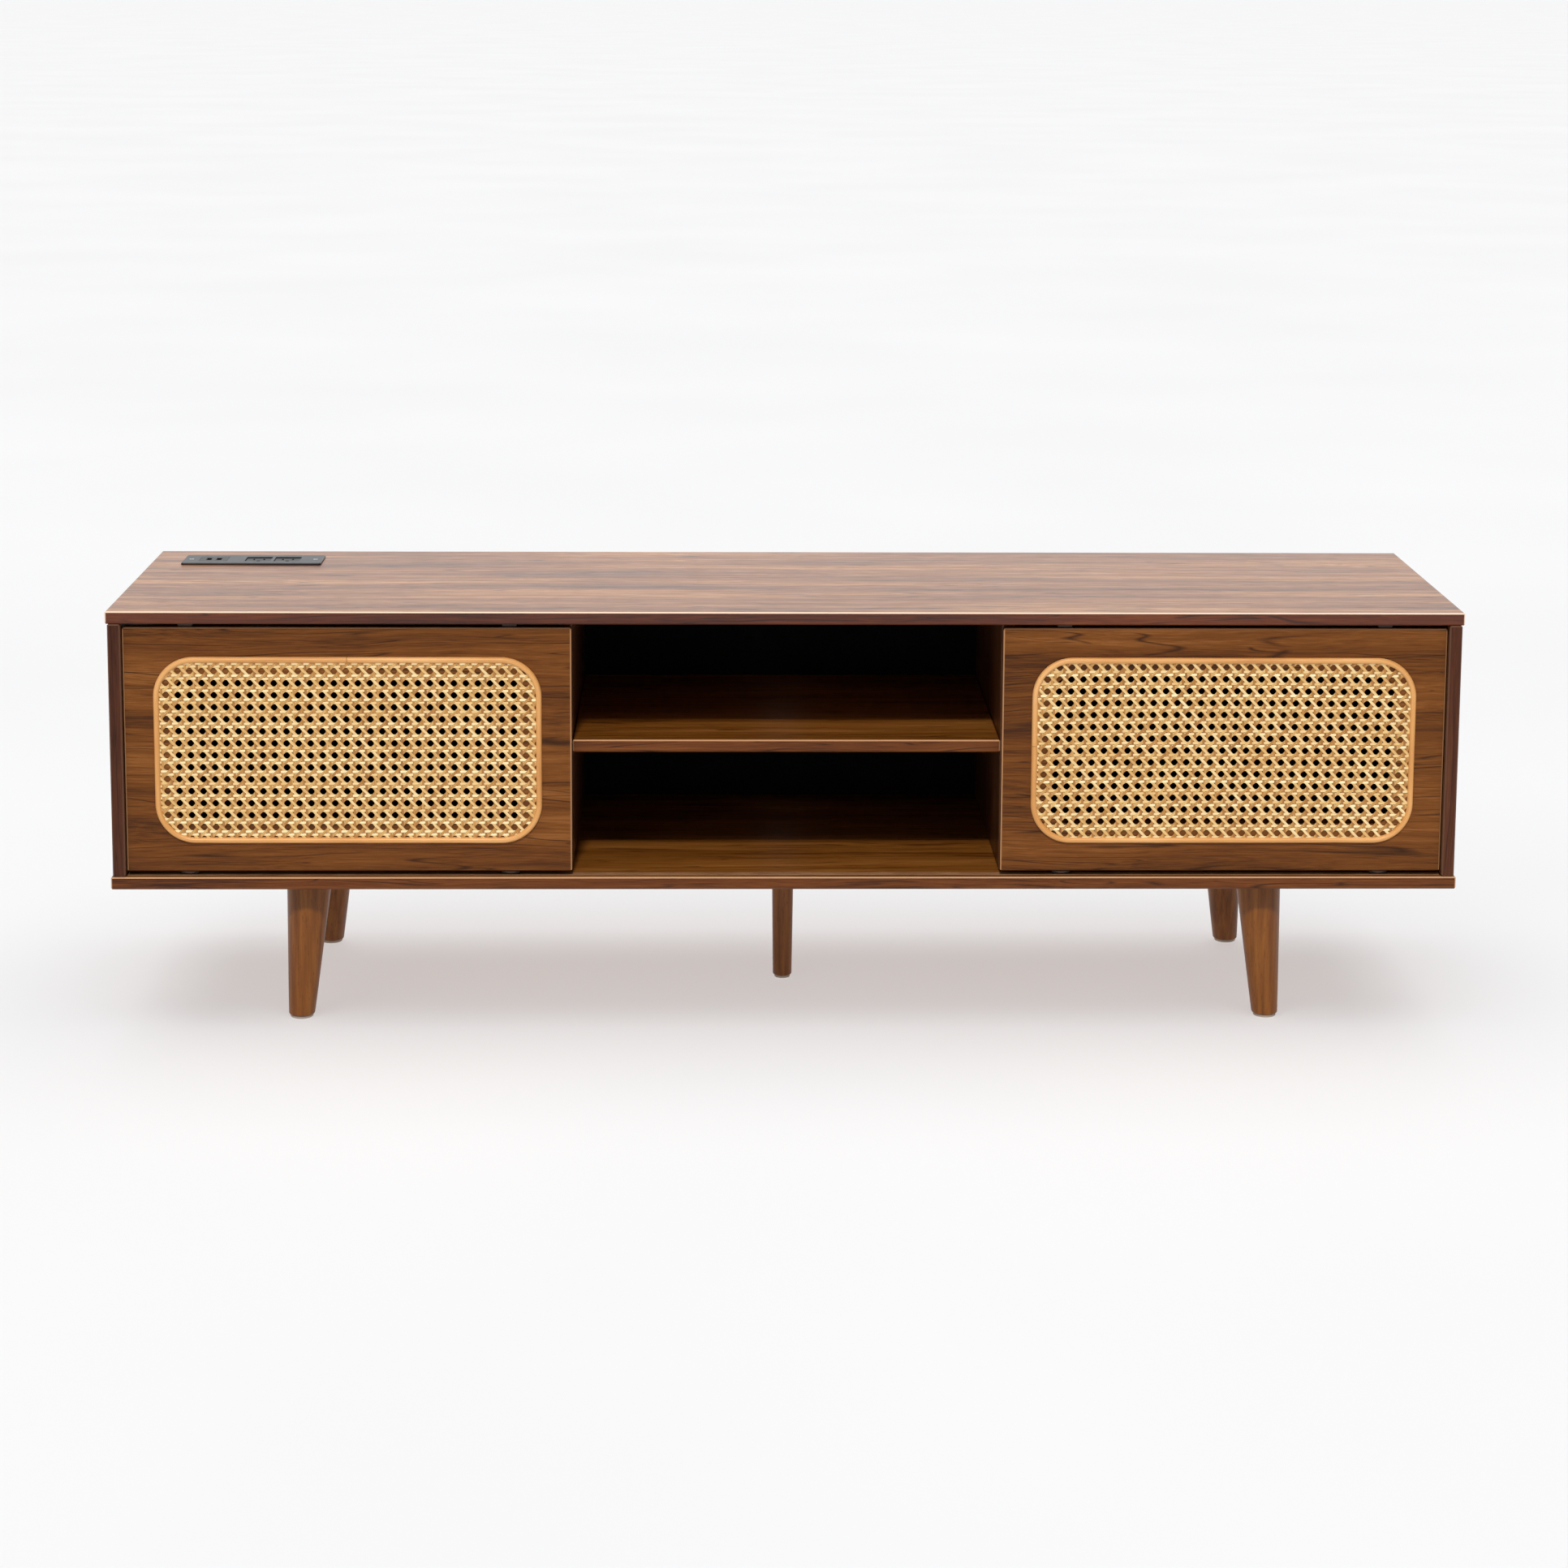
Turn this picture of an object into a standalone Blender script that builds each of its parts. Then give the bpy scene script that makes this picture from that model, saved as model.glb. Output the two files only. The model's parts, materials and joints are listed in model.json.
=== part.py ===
"""Media cabinet with two sliding cane doors on one track, an open middle bay and five legs.

Units are metres, +Z is up. The origin is on the floor under the middle of the cabinet,
the doors face -Y, and +X is to the right of a person who faces the doors.
"""

import math

import bmesh
import bpy
from mathutils import Matrix, Vector

# Cabinet as a whole
WIDTH = 1.600
DEPTH = 0.400
HEIGHT = 0.506
UNDERSIDE = 0.1705  # height of the bottom panel's lower face above the floor
BOARD = 0.015  # thickness of every carcass board
EDGE = 0.0015  # rounding of a board's arrises
TRIM_EDGE = 0.0008  # rounding of the power strip's arrises
SIDE_INSET = 0.0025  # the top and bottom panels overhang the side panels by this
BAY_WIDTH = 0.510  # open middle bay, between the dividers
DIVIDER_CLEARANCE = 0.004  # from the back of a door to the dividers behind it
SHELF_CLEARANCE = 0.005  # from the back of a door to the shelf behind it
GAP = 0.0003  # between pieces that touch

# Back panels
BACK_BOARD = 0.004
BACK_INSET = 0.006
BACK_TONGUE = 0.005
CABLE_HOLE_RADIUS = 0.025
CABLE_HOLE_DROP = 0.0375  # from the board above to the hole's centre
STRIP_CABLE_HOLE_DROP = 0.048  # the same, under the power strip

# Doors
DOOR_THICKNESS = 0.015
DOOR_SETBACK = 0.008
DOOR_END_GAP = 0.001
DOOR_FLOOR_GAP = 0.005
DOOR_TOP_GAP = 0.0055
POCKET_CLEARANCE = 0.0003

# Cane and the reed around it
RING_MARGIN = 0.035  # from the door's edge to the outside of the reed
RING_WIDTH = 0.007
RING_HEIGHT = 0.0045
RING_CORNER = 0.048
CANE_THICKNESS = 0.0015
CANE_LAP = 0.0155  # how far the cane lies on the door around the opening

# Track channels
TRACK_WIDTH = 0.012
TRACK_HEIGHT = 0.0062
SLOT_WIDTH = 0.006
SLOT_DEPTH = 0.0045

# Rollers
ROLLER_INSET = 0.073  # from a door's end to the wheel's centre
WHEEL_RADIUS = 0.0125
WHEEL_SLOT_PLAY = 0.00075  # on each side of the wheel in the track
WHEEL_CHEEK_PLAY = 0.0005  # on each side of the wheel in its housing
WHEEL_ROOM = 0.001
AXLE_RADIUS = 0.0015
AXLE_PLAY = 0.0003
HOUSING_WALL = 0.0045
HOUSING_ROOF = 0.0015  # above the round nose
CHEEK = 0.00225
NOSE_DROP = 0.0032
NOSE_EXTRA = 0.0004  # the nose's radius over the wheel's

# Upper guides
GUIDE_LENGTH = 0.030
GUIDE_BODY_HEIGHT = 0.014
NIB_LENGTH = 0.018
NIB_REACH = 0.003  # how far the nib stands inside the upper slot
NIB_PLAY = 0.0008

# Legs
LEG_TOP_RADIUS = 0.027
LEG_FOOT_RADIUS = 0.0157
LEG_END_INSET = 0.2275  # from the cabinet's end to the middle of the leg's top
LEG_EDGE_INSET = 0.058  # from the front or rear edge to the middle of the leg's top
LEG_SPLAY = 0.0105
CENTER_LEG_TOP_RADIUS = 0.0138
CENTER_LEG_FOOT_RADIUS = 0.0118
LEG_ROUNDING = 0.0012
PLATE_THICKNESS = 0.002
PLATE_MARGIN = 0.003  # a plate's edge beyond the leg's top
PLATE_CORNER = 0.005
GLIDE_HEIGHT = 0.003
GLIDE_MARGIN = 0.002  # a glide's edge inside the leg's foot

# Power strip in the top panel
STRIP_LENGTH = 0.176
STRIP_WIDTH = 0.056
STRIP_RIM = 0.0027
STRIP_SEAT = 0.0005  # depth of the recess in the top panel that the bezel sits in
STRIP_CORNER = 0.003
STRIP_END_INSET = 0.040
STRIP_REAR_INSET = 0.043
STRIP_LAP = 0.004  # how far the bezel covers the top panel around the cut-out
STRIP_BODY_DEPTH = 0.045
STRIP_WALL = 0.002
STRIP_BOSS = 0.011  # solid end of the housing that the bezel screw bites in
OUTLET_SIZE = (0.032, 0.029, 0.018)
OUTLET_PLACES = (0.0945, 0.1310)  # middles, from the strip's left end
OUTLET_SINK = 0.0012
BLADE_SLOT = (0.0022, 0.0080)
BLADE_SPREAD = 0.0127
EARTH_HOLE_RADIUS = 0.0026
EARTH_OFFSET = 0.0100
CONTACT_DEPTH = 0.012
USB_SIZE = (0.035, 0.030, 0.016)
USB_PLACE = 0.0380
USB_PORT = (0.0062, 0.0130)
USB_PORT_SPREAD = 0.0125
USB_PORT_DEPTH = 0.011
SCREW_INSET = 0.0095
SCREW_HEAD_RADIUS = 0.0030
SCREW_HEAD_HEIGHT = 0.0014
SCREW_SHANK_RADIUS = 0.0014
SCREW_LENGTH = 0.010
SCREW_SLOT = (0.0036, 0.0008, 0.0008)
GLAND_RADIUS = 0.0045
GLAND_FLANGE_RADIUS = 0.0070
GLAND_FLANGE = 0.002
GLAND_LENGTH = 0.014
GLAND_BORE_RADIUS = 0.0032
GLAND_DROP = 0.032  # below the housing's upper edge

CUT = 0.002  # how far a cutter runs past the face it opens

# Places that follow from the sizes above
FRONT = -DEPTH / 2
REAR = DEPTH / 2
FLOOR = UNDERSIDE + BOARD
CEILING = HEIGHT - BOARD
SIDE_X = WIDTH / 2 - SIDE_INSET
INNER_X = SIDE_X - BOARD
BAY_X = BAY_WIDTH / 2
BACK_FRONT = REAR - BACK_INSET - BACK_BOARD
BACK_REAR = REAR - BACK_INSET
SHELF_LOW = (FLOOR + CEILING - BOARD) / 2
DOOR_LOW = FLOOR + DOOR_FLOOR_GAP
DOOR_HIGH = CEILING - DOOR_TOP_GAP
DOOR_FRONT = FRONT + DOOR_SETBACK
DOOR_BACK = DOOR_FRONT + DOOR_THICKNESS
DIVIDER_FRONT = DOOR_BACK + DIVIDER_CLEARANCE
SHELF_FRONT = DOOR_BACK + SHELF_CLEARANCE
DOOR_MIDDLE = (DOOR_FRONT + DOOR_BACK) / 2
DOOR_OUTER = INNER_X - DOOR_END_GAP
DOOR_WIDTH = DOOR_OUTER - BAY_X
RING_X = DOOR_WIDTH / 2 - RING_MARGIN
RING_Z = (DOOR_HIGH - DOOR_LOW) / 2 - RING_MARGIN
WHEEL_WIDTH = SLOT_WIDTH - 2 * WHEEL_SLOT_PLAY
AXLE_Z = FLOOR - SLOT_DEPTH + GAP + WHEEL_RADIUS
NOSE_RADIUS = WHEEL_RADIUS + NOSE_EXTRA
HOUSING_WIDTH = WHEEL_WIDTH + 2 * WHEEL_CHEEK_PLAY + 2 * CHEEK
STRIP_LEFT = -WIDTH / 2 + STRIP_END_INSET
STRIP_X = STRIP_LEFT + STRIP_LENGTH / 2
STRIP_Y = REAR - STRIP_REAR_INSET - STRIP_WIDTH / 2
STRIP_TOP = HEIGHT - STRIP_SEAT  # upper edge of the housing and floor of the bezel's recess
BEZEL_LOW = STRIP_TOP + GAP
BEZEL_HIGH = BEZEL_LOW + STRIP_RIM


def clear_scene():
    for item in list(bpy.data.objects):
        bpy.data.objects.remove(item, do_unlink=True)


def new_collection(name):
    collection = bpy.data.collections.new(name)
    bpy.context.scene.collection.children.link(collection)
    return collection


def new_material(name, color, roughness, metallic=0.0):
    made = bpy.data.materials.new(name)
    made.use_nodes = True
    shader = made.node_tree.nodes["Principled BSDF"]
    shader.inputs["Base Color"].default_value = (*color, 1.0)
    shader.inputs["Roughness"].default_value = roughness
    shader.inputs["Metallic"].default_value = metallic
    made.diffuse_color = (*color, 1.0)
    return made


clear_scene()
PARTS = new_collection("media_cabinet")
CUTTERS = new_collection("cutters")
CUTTERS.hide_render = True

WALNUT = new_material("walnut_laminate", (0.17, 0.075, 0.03), 0.4)
LEG_WOOD = new_material("stained_rubberwood", (0.20, 0.085, 0.03), 0.4)
BLACK_BOARD = new_material("black_hardboard", (0.01, 0.01, 0.01), 0.8)
CANE = new_material("cane_webbing", (0.72, 0.52, 0.25), 0.5)
REED = new_material("rattan_reed", (0.75, 0.42, 0.17), 0.4)
BROWN_PLASTIC = new_material("brown_nylon", (0.06, 0.03, 0.025), 0.45)
DARK_PLASTIC = new_material("dark_nylon", (0.03, 0.03, 0.03), 0.4)
GREY_PLASTIC = new_material("grey_abs", (0.10, 0.12, 0.13), 0.45)
PALE_PLASTIC = new_material("pale_polyethylene", (0.55, 0.50, 0.45), 0.5)
STEEL = new_material("zinc_plated_steel", (0.55, 0.55, 0.56), 0.35, 1.0)


def add_object(name, mesh, place, material=None, parent=None):
    """Link a mesh as a part or, with no material, as a cutter. The place is in world axes."""
    made = bpy.data.objects.new(name, mesh)
    made.location = place
    if parent is not None:
        made.parent = parent
        made.location = Vector(place) - parent.location
    if material is None:
        CUTTERS.objects.link(made)
        made.hide_render = True
        made.display_type = "WIRE"
    else:
        PARTS.objects.link(made)
        mesh.materials.append(material)
    return made


def mesh_from(shape, name):
    mesh = bpy.data.meshes.new(name)
    shape.to_mesh(mesh)
    shape.free()
    return mesh


def ease_edges(made, width, segments=1):
    bevel = made.modifiers.new("eased_edges", "BEVEL")
    bevel.width = width
    bevel.segments = segments
    bevel.limit_method = "ANGLE"
    bevel.angle_limit = math.radians(40)


def shade_round(made):
    made.data.shade_smooth()
    made.data.set_sharp_from_angle(angle=math.radians(35))


def cut(made, *cutters):
    for cutter in cutters:
        boolean = made.modifiers.new("cut_" + cutter.name, "BOOLEAN")
        boolean.operation = "DIFFERENCE"
        boolean.solver = "EXACT"
        boolean.object = cutter


def join(made, *others):
    for other in others:
        boolean = made.modifiers.new("join_" + other.name, "BOOLEAN")
        boolean.operation = "UNION"
        boolean.solver = "EXACT"
        boolean.object = other


def block(name, low, high, material=None, parent=None, edge=0.0, radius=0.0, along="Z"):
    """A box between two corners. Its edges along one axis can be rounded by a radius."""
    low = Vector(low)
    high = Vector(high)
    size = high - low
    shape = bmesh.new()
    bmesh.ops.create_cube(shape, size=1.0)
    bmesh.ops.scale(shape, vec=size, verts=shape.verts)
    if radius > 0.0:
        axis = "XYZ".index(along)
        upright = [e for e in shape.edges if abs((e.verts[0].co - e.verts[1].co)[axis]) > 0.9 * size[axis]]
        bmesh.ops.bevel(
            shape, geom=upright, offset=radius, segments=8, profile=0.5, affect="EDGES"
        )
    made = add_object(name, mesh_from(shape, name), (low + high) / 2, material, parent)
    if edge > 0.0:
        ease_edges(made, edge)
    return made


def cylinder(name, center, radius, length, along="Z", material=None, parent=None, sides=32):
    shape = bmesh.new()
    bmesh.ops.create_cone(
        shape, cap_ends=True, segments=sides, radius1=radius, radius2=radius, depth=length
    )
    turn = {"X": Matrix.Rotation(math.pi / 2, 3, "Y"), "Y": Matrix.Rotation(math.pi / 2, 3, "X")}
    if along in turn:
        bmesh.ops.rotate(shape, cent=(0, 0, 0), matrix=turn[along], verts=shape.verts)
    made = add_object(name, mesh_from(shape, name), center, material, parent)
    shade_round(made)
    return made


def turned(name, profile, center, material, parent=None, along="Z", closed=False, steps=28):
    """A profile of (radius, height) points turned round its axis with a Screw modifier."""
    mesh = bpy.data.meshes.new(name)
    points = [(radius, 0.0, height) for radius, height in profile]
    edges = [(i, i + 1) for i in range(len(points) - 1)]
    if closed:
        edges.append((len(points) - 1, 0))
    mesh.from_pydata(points, edges, [])
    if along == "Y":
        mesh.transform(Matrix.Rotation(-math.pi / 2, 4, "X"))
    made = add_object(name, mesh, center, material, parent)
    screw = made.modifiers.new("turn", "SCREW")
    screw.axis = along
    screw.steps = steps
    screw.render_steps = steps
    screw.use_merge_vertices = True
    screw.merge_threshold = 0.00001
    return made


# ---------------------------------------------------------------- carcass


def back_panel(name, left, right, hole_centers):
    """A thin back with a tongue in the groove of every board round it. Returns its groove too."""
    low = Vector((left - BACK_TONGUE, BACK_FRONT, FLOOR - BACK_TONGUE))
    high = Vector((right + BACK_TONGUE, BACK_REAR, CEILING + BACK_TONGUE))
    around = Vector((GAP, GAP, GAP))
    groove = block(name + "_groove", low - around, high + around)
    panel = block(name, low, high, BLACK_BOARD)
    for number, (x, z) in enumerate(hole_centers, 1):
        center = (x, (BACK_FRONT + BACK_REAR) / 2, z)
        length = BACK_BOARD + 2 * CUT
        cut(panel, cylinder(f"{name}_cable_hole_{number}", center, CABLE_HOLE_RADIUS, length, "Y"))
    return groove


def track(name, open_height, upwards):
    """A channel let into a panel, with its slot open on the side that faces the doors."""
    toward = 1 if upwards else -1
    half = TRACK_WIDTH / 2
    heights = sorted((open_height, open_height - toward * TRACK_HEIGHT))
    low = Vector((-INNER_X + GAP, DOOR_MIDDLE - half, heights[0]))
    high = Vector((INNER_X - GAP, DOOR_MIDDLE + half, heights[1]))
    channel = block(name, low, high, BROWN_PLASTIC, edge=TRIM_EDGE / 2)
    heights = sorted((open_height + toward * CUT, open_height - toward * SLOT_DEPTH))
    half = SLOT_WIDTH / 2
    slot = block(
        name + "_slot",
        (-WIDTH / 2, DOOR_MIDDLE - half, heights[0]),
        (WIDTH / 2, DOOR_MIDDLE + half, heights[1]),
    )
    cut(channel, slot)
    heights = sorted((open_height + toward * CUT, open_height - toward * (TRACK_HEIGHT + GAP)))
    half = TRACK_WIDTH / 2 + GAP
    return block(
        name + "_groove",
        (-INNER_X, DOOR_MIDDLE - half, heights[0]),
        (INNER_X, DOOR_MIDDLE + half, heights[1]),
    )


def carcass():
    top = block(
        "top_panel", (-WIDTH / 2, FRONT, CEILING), (WIDTH / 2, REAR, HEIGHT), WALNUT, edge=EDGE
    )
    bottom = block(
        "bottom_panel", (-WIDTH / 2, FRONT, UNDERSIDE), (WIDTH / 2, REAR, FLOOR), WALNUT, edge=EDGE
    )
    low = FLOOR + GAP
    high = CEILING - GAP
    uprights = {}
    for side, sign in (("left", -1), ("right", 1)):
        near, far = sorted((sign * INNER_X, sign * SIDE_X))
        uprights[side] = block(
            side + "_side_panel", (near, FRONT, low), (far, REAR, high), WALNUT, edge=EDGE
        )
        near, far = sorted((sign * BAY_X, sign * (BAY_X + BOARD)))
        uprights[side + "_inner"] = block(
            side + "_divider",
            (near, DIVIDER_FRONT, low),
            (far, REAR, high),
            WALNUT,
            edge=EDGE,
        )
    block(
        "middle_shelf",
        (-BAY_X + GAP, SHELF_FRONT, SHELF_LOW),
        (BAY_X - GAP, BACK_FRONT - GAP, SHELF_LOW + BOARD),
        WALNUT,
        edge=EDGE,
    )

    hole_heights = (SHELF_LOW - CABLE_HOLE_DROP, CEILING - CABLE_HOLE_DROP)
    left_groove = back_panel(
        "back_panel_left",
        -INNER_X,
        -BAY_X - BOARD,
        [(STRIP_X, CEILING - STRIP_CABLE_HOLE_DROP)],
    )
    middle_groove = back_panel("back_panel_middle", -BAY_X, BAY_X, [(0.0, z) for z in hole_heights])
    right_groove = back_panel("back_panel_right", BAY_X + BOARD, INNER_X, [])
    cut(uprights["left"], left_groove)
    cut(uprights["left_inner"], left_groove, middle_groove)
    cut(uprights["right_inner"], middle_groove, right_groove)
    cut(uprights["right"], right_groove)

    cut(bottom, left_groove, middle_groove, right_groove)
    cut(bottom, track("lower_track", FLOOR, upwards=True))
    cut(top, left_groove, middle_groove, right_groove)
    cut(top, track("upper_track", CEILING, upwards=False))
    return top


# ---------------------------------------------------------------- legs


def leg(name, top_xy, splay, top_radius, foot_radius):
    """A tapered leg that leans by the splay, with its plate above it and a glide under it."""
    low = GLIDE_HEIGHT + GAP
    plate_low = UNDERSIDE - GAP - PLATE_THICKNESS
    height = plate_low - GAP - low
    shape = bmesh.new()
    bmesh.ops.create_cone(
        shape, cap_ends=True, segments=36, radius1=foot_radius, radius2=top_radius, depth=height
    )
    lean = Matrix.Identity(4)
    lean[0][2] = -splay[0] / height
    lean[1][2] = -splay[1] / height
    bmesh.ops.transform(shape, matrix=lean, verts=shape.verts)
    middle = Vector((top_xy[0] + splay[0] / 2, top_xy[1] + splay[1] / 2, low + height / 2))
    made = add_object(name, mesh_from(shape, name), middle, LEG_WOOD)
    ease_edges(made, LEG_ROUNDING)
    shade_round(made)

    half = top_radius + PLATE_MARGIN
    block(
        name + "_plate",
        (top_xy[0] - half, top_xy[1] - half, plate_low),
        (top_xy[0] + half, top_xy[1] + half, UNDERSIDE - GAP),
        STEEL,
        radius=PLATE_CORNER,
    )
    foot = (top_xy[0] + splay[0], top_xy[1] + splay[1], GLIDE_HEIGHT / 2)
    radius = foot_radius - GLIDE_MARGIN
    glide = cylinder(name + "_glide", foot, radius, GLIDE_HEIGHT, material=PALE_PLASTIC)
    ease_edges(glide, GLIDE_HEIGHT / 4)


def legs():
    for row, sign_y in (("front", -1), ("rear", 1)):
        for side, sign_x in (("left", -1), ("right", 1)):
            top_xy = (sign_x * (WIDTH / 2 - LEG_END_INSET), sign_y * (DEPTH / 2 - LEG_EDGE_INSET))
            splay = (sign_x * LEG_SPLAY, sign_y * LEG_SPLAY)
            leg(f"leg_{row}_{side}", top_xy, splay, LEG_TOP_RADIUS, LEG_FOOT_RADIUS)
    leg("leg_center", (0, 0), (0, 0), CENTER_LEG_TOP_RADIUS, CENTER_LEG_FOOT_RADIUS)


# ---------------------------------------------------------------- doors


def reed_profile():
    """The half-round section of the reed, as a closed curve that bevels the ring."""
    data = bpy.data.curves.new("reed_section", "CURVE")
    data.dimensions = "2D"
    steps = 6
    spline = data.splines.new("POLY")
    spline.points.add(steps)
    for i in range(steps + 1):
        angle = math.pi * (1 - i / steps)
        across = RING_WIDTH / 2 * math.cos(angle)
        out = RING_HEIGHT * math.sin(angle)
        spline.points[i].co = (across, out, 0.0, 1.0)
    spline.use_cyclic_u = True
    made = bpy.data.objects.new("reed_section", data)
    CUTTERS.objects.link(made)
    made.hide_render = True
    return made


def rounded_path(half_x, half_z, radius, steps=7):
    """Points (x, z) round a rectangle with round corners, anticlockwise seen from the front."""
    points = []
    for quarter, (sign_x, sign_z) in enumerate(((1, 1), (-1, 1), (-1, -1), (1, -1))):
        for i in range(steps + 1):
            angle = math.pi / 2 * (quarter + i / steps)
            x = sign_x * (half_x - radius) + radius * math.cos(angle)
            z = sign_z * (half_z - radius) + radius * math.sin(angle)
            points.append((x, z))
    return points


def reed_ring(name, center_x, center_z, section, parent):
    """The reed laid flat on the door's face round the cane."""
    inset = RING_WIDTH / 2
    points = rounded_path(RING_X - inset, RING_Z - inset, RING_CORNER - inset)
    data = bpy.data.curves.new(name, "CURVE")
    data.dimensions = "2D"
    data.bevel_mode = "OBJECT"
    data.bevel_object = section
    spline = data.splines.new("POLY")
    spline.points.add(len(points) - 1)
    for point, (x, z) in zip(spline.points, points):
        point.co = (x, z, 0.0, 1.0)
    spline.use_cyclic_u = True
    made = bpy.data.objects.new(name, data)
    made.parent = parent
    made.location = Vector((center_x, DOOR_FRONT - GAP, center_z)) - parent.location
    made.rotation_euler = (math.pi / 2, 0.0, 0.0)
    data.materials.append(REED)
    PARTS.objects.link(made)


def roller(name, x, parent):
    """A wheel on its axle in a housing let into the door's lower edge. Returns the pocket."""
    half_x = WHEEL_RADIUS + WHEEL_ROOM + HOUSING_WALL
    half_y = HOUSING_WIDTH / 2
    nose_z = DOOR_LOW - NOSE_DROP + NOSE_RADIUS
    low = Vector((x - half_x, DOOR_MIDDLE - half_y, DOOR_LOW))
    high = Vector((x + half_x, DOOR_MIDDLE + half_y, nose_z + NOSE_RADIUS + HOUSING_ROOF))
    housing = block(name + "_housing", low, high, BROWN_PLASTIC, parent)
    nose = cylinder(
        name + "_nose", (x, DOOR_MIDDLE, nose_z), NOSE_RADIUS, HOUSING_WIDTH, "Y", sides=40
    )
    join(housing, nose)
    room_x = WHEEL_RADIUS + WHEEL_ROOM
    room_y = WHEEL_WIDTH / 2 + WHEEL_CHEEK_PLAY
    room = block(
        name + "_wheel_room",
        (x - room_x, DOOR_MIDDLE - room_y, FLOOR - BOARD),
        (x + room_x, DOOR_MIDDLE + room_y, AXLE_Z + WHEEL_RADIUS + WHEEL_ROOM),
    )
    center = (x, DOOR_MIDDLE, AXLE_Z)
    bore = cylinder(
        name + "_axle_bore", center, AXLE_RADIUS + AXLE_PLAY, HOUSING_WIDTH + 2 * CUT, "Y", sides=20
    )
    cut(housing, room, bore)
    cylinder(
        name + "_axle", center, AXLE_RADIUS, HOUSING_WIDTH - 2 * GAP, "Y", STEEL, parent, sides=20
    )
    tyre_edge = WHEEL_WIDTH / 5
    half = WHEEL_WIDTH / 2
    bore_radius = AXLE_RADIUS + AXLE_PLAY
    profile = [
        (bore_radius, half),
        (WHEEL_RADIUS - tyre_edge, half),
        (WHEEL_RADIUS, half - tyre_edge),
        (WHEEL_RADIUS, -half + tyre_edge),
        (WHEEL_RADIUS - tyre_edge, -half),
        (bore_radius, -half),
    ]
    turned(name + "_wheel", profile, center, DARK_PLASTIC, parent, along="Y", closed=True)
    around = Vector((POCKET_CLEARANCE, POCKET_CLEARANCE, POCKET_CLEARANCE))
    return block(name + "_pocket", low - around - Vector((0, 0, CUT)), high + around)


def top_guide(name, x, parent):
    """A guide let into the door's upper edge, with a nib in the upper track. Returns the pocket."""
    half_y = HOUSING_WIDTH / 2
    low = Vector((x - GUIDE_LENGTH / 2, DOOR_MIDDLE - half_y, DOOR_HIGH - GUIDE_BODY_HEIGHT))
    high = Vector((x + GUIDE_LENGTH / 2, DOOR_MIDDLE + half_y, DOOR_HIGH))
    guide = block(name, low, high, BROWN_PLASTIC, parent)
    half = SLOT_WIDTH / 2 - NIB_PLAY
    nib = block(
        name + "_nib",
        (x - NIB_LENGTH / 2, DOOR_MIDDLE - half, DOOR_HIGH - GUIDE_BODY_HEIGHT / 2),
        (x + NIB_LENGTH / 2, DOOR_MIDDLE + half, CEILING + NIB_REACH),
        radius=half * 0.9,
    )
    join(guide, nib)
    around = Vector((POCKET_CLEARANCE, POCKET_CLEARANCE, POCKET_CLEARANCE))
    return block(name + "_pocket", low - around, high + around + Vector((0, 0, CUT)))


def door(side, sign, section):
    left, right = sorted((sign * BAY_X, sign * DOOR_OUTER))
    center_x = (left + right) / 2
    center_z = (DOOR_LOW + DOOR_HIGH) / 2
    slide = bpy.data.objects.new(side + "_door_slide", None)
    slide.location = (center_x, DOOR_MIDDLE, center_z)
    PARTS.objects.link(slide)
    name = side + "_door"
    panel = block(
        name + "_panel",
        (left, DOOR_FRONT, DOOR_LOW),
        (right, DOOR_BACK, DOOR_HIGH),
        WALNUT,
        slide,
        edge=EDGE,
    )
    inner_x = RING_X - RING_WIDTH
    inner_z = RING_Z - RING_WIDTH
    corner = RING_CORNER - RING_WIDTH
    opening = block(
        name + "_opening",
        (center_x - inner_x + CANE_LAP, DOOR_FRONT - CUT, center_z - inner_z + CANE_LAP),
        (center_x + inner_x - CANE_LAP, DOOR_BACK + CUT, center_z + inner_z - CANE_LAP),
        radius=corner - CANE_LAP,
        along="Y",
    )
    cut(panel, opening)
    block(
        name + "_cane",
        (center_x - inner_x + GAP, DOOR_FRONT - GAP - CANE_THICKNESS, center_z - inner_z + GAP),
        (center_x + inner_x - GAP, DOOR_FRONT - GAP, center_z + inner_z - GAP),
        CANE,
        slide,
        radius=corner - GAP,
        along="Y",
    )
    reed_ring(name + "_reed", center_x, center_z, section, slide)
    for end, x in (("left", left + ROLLER_INSET), ("right", right - ROLLER_INSET)):
        cut(panel, roller(f"{name}_roller_{end}", x, slide))
        cut(panel, top_guide(f"{name}_guide_{end}", x, slide))


def doors():
    section = reed_profile()
    door("left", -1, section)
    door("right", 1, section)


# ---------------------------------------------------------------- power strip


def insert(name, x, size, sink):
    """A socket block in a window of the bezel. Returns the block, its window and its top."""
    half = Vector((size[0] / 2, size[1] / 2, 0))
    top = BEZEL_HIGH - sink
    low = Vector((x, STRIP_Y, top - size[2])) - half
    high = Vector((x, STRIP_Y, top)) + half
    made = block(name, low, high, DARK_PLASTIC)
    around = Vector((GAP, GAP, 0))
    window = block(
        name + "_window",
        Vector((low.x, low.y, BEZEL_LOW - CUT)) - around,
        Vector((high.x, high.y, BEZEL_HIGH + CUT)) + around,
    )
    return made, window, top


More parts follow.
